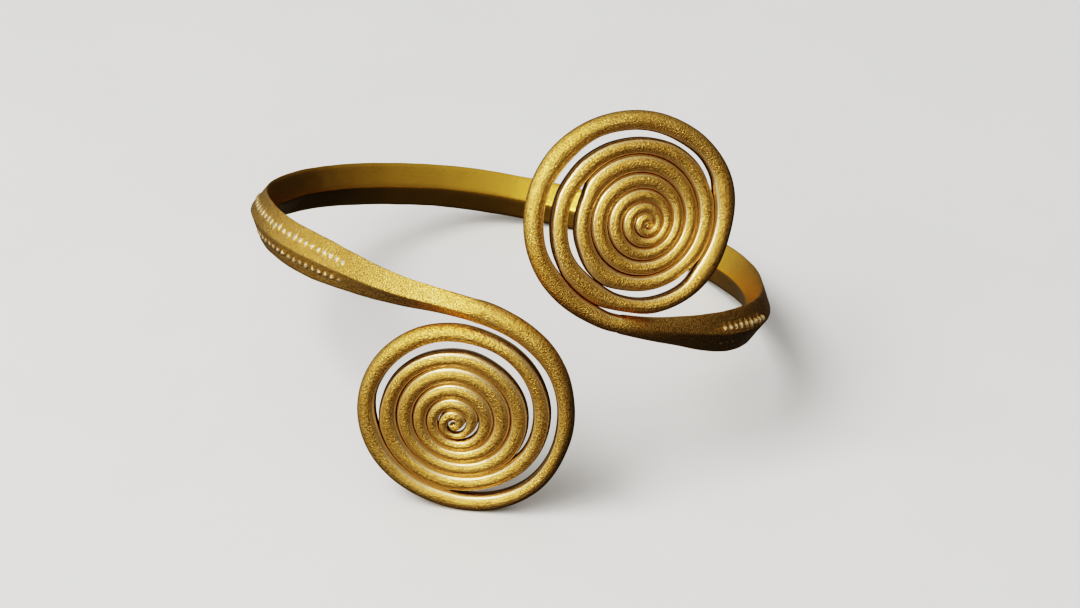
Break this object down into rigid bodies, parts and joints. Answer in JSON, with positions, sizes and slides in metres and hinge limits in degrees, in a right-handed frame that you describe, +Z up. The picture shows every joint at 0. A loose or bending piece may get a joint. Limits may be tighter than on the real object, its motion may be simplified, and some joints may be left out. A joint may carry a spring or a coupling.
{
  "type": "spiral bracelet",
  "caption": "Open gold bracelet: a lozenge-section hoop for the arm whose drawn-out ends cross at the front and wind into flat wire spiral discs.",
  "frame": {"origin": "centre of the bounding box at its base, on the surface the bracelet lies on", "axes": "+Z up as it lies, -Y the front with the two spiral discs, +X to the right seen from the front, towards the upper disc; the hoop leans about 21 degrees from level, higher at the front left"},
  "size_m": [0.0678, 0.0714, 0.0484],
  "materials": {
    "gold": "satin"
  },
  "bodies": {
    "root": {"bracelet": "gold"}
  },
  "joints": []
}
